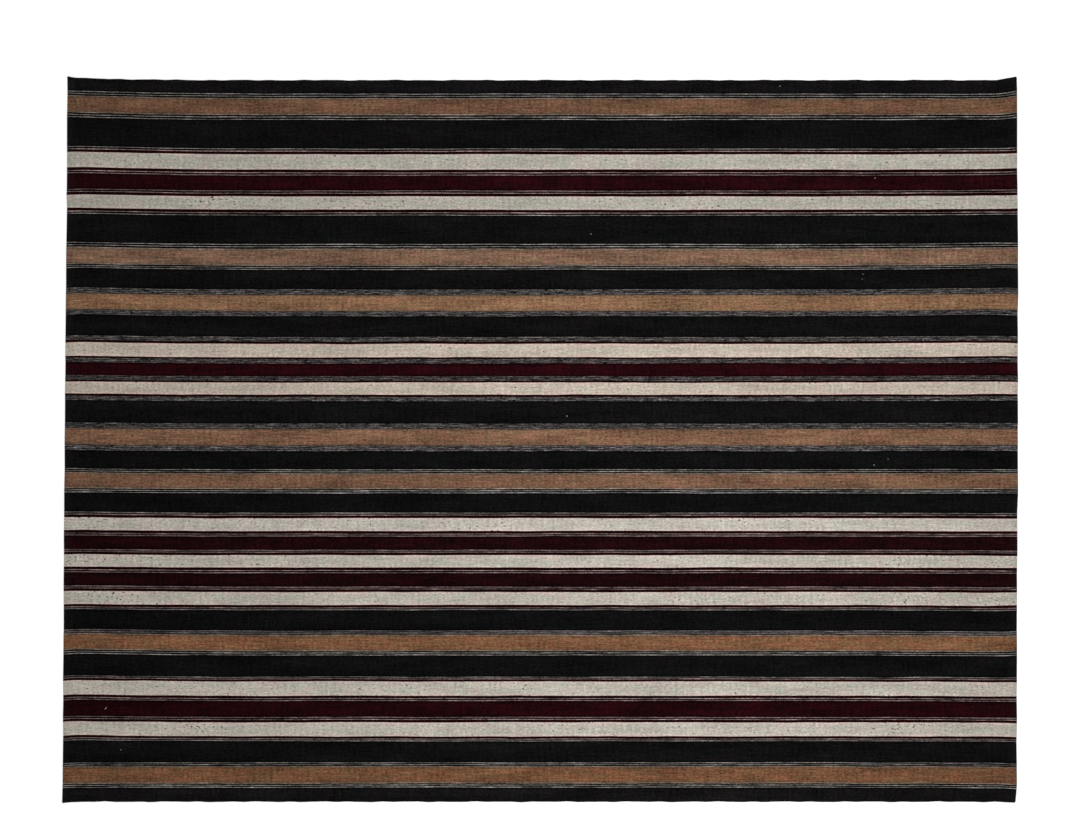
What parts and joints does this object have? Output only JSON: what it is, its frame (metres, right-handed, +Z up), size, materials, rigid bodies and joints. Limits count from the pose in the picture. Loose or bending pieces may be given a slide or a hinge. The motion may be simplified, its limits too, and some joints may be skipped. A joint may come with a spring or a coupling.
{
  "type": "kilim",
  "caption": "Flat-woven striped wool kilim lying flat, a thin near-rectangular cloth with corded selvedges and turned, slightly scalloped ends.",
  "frame": {"origin": "on the floor, under the middle of the cloth's outline box", "axes": "+X along the stripes, +Y along the warp towards the end whose corners rise, +Z up out of the cloth's upper face"},
  "size_m": [3.6706, 2.7914, 0.0054],
  "materials": {
    "woven_wool": "matte weft-faced wool in black, tan, cream and burgundy bands"
  },
  "bodies": {
    "root": {"kilim": "woven_wool"}
  },
  "joints": []
}
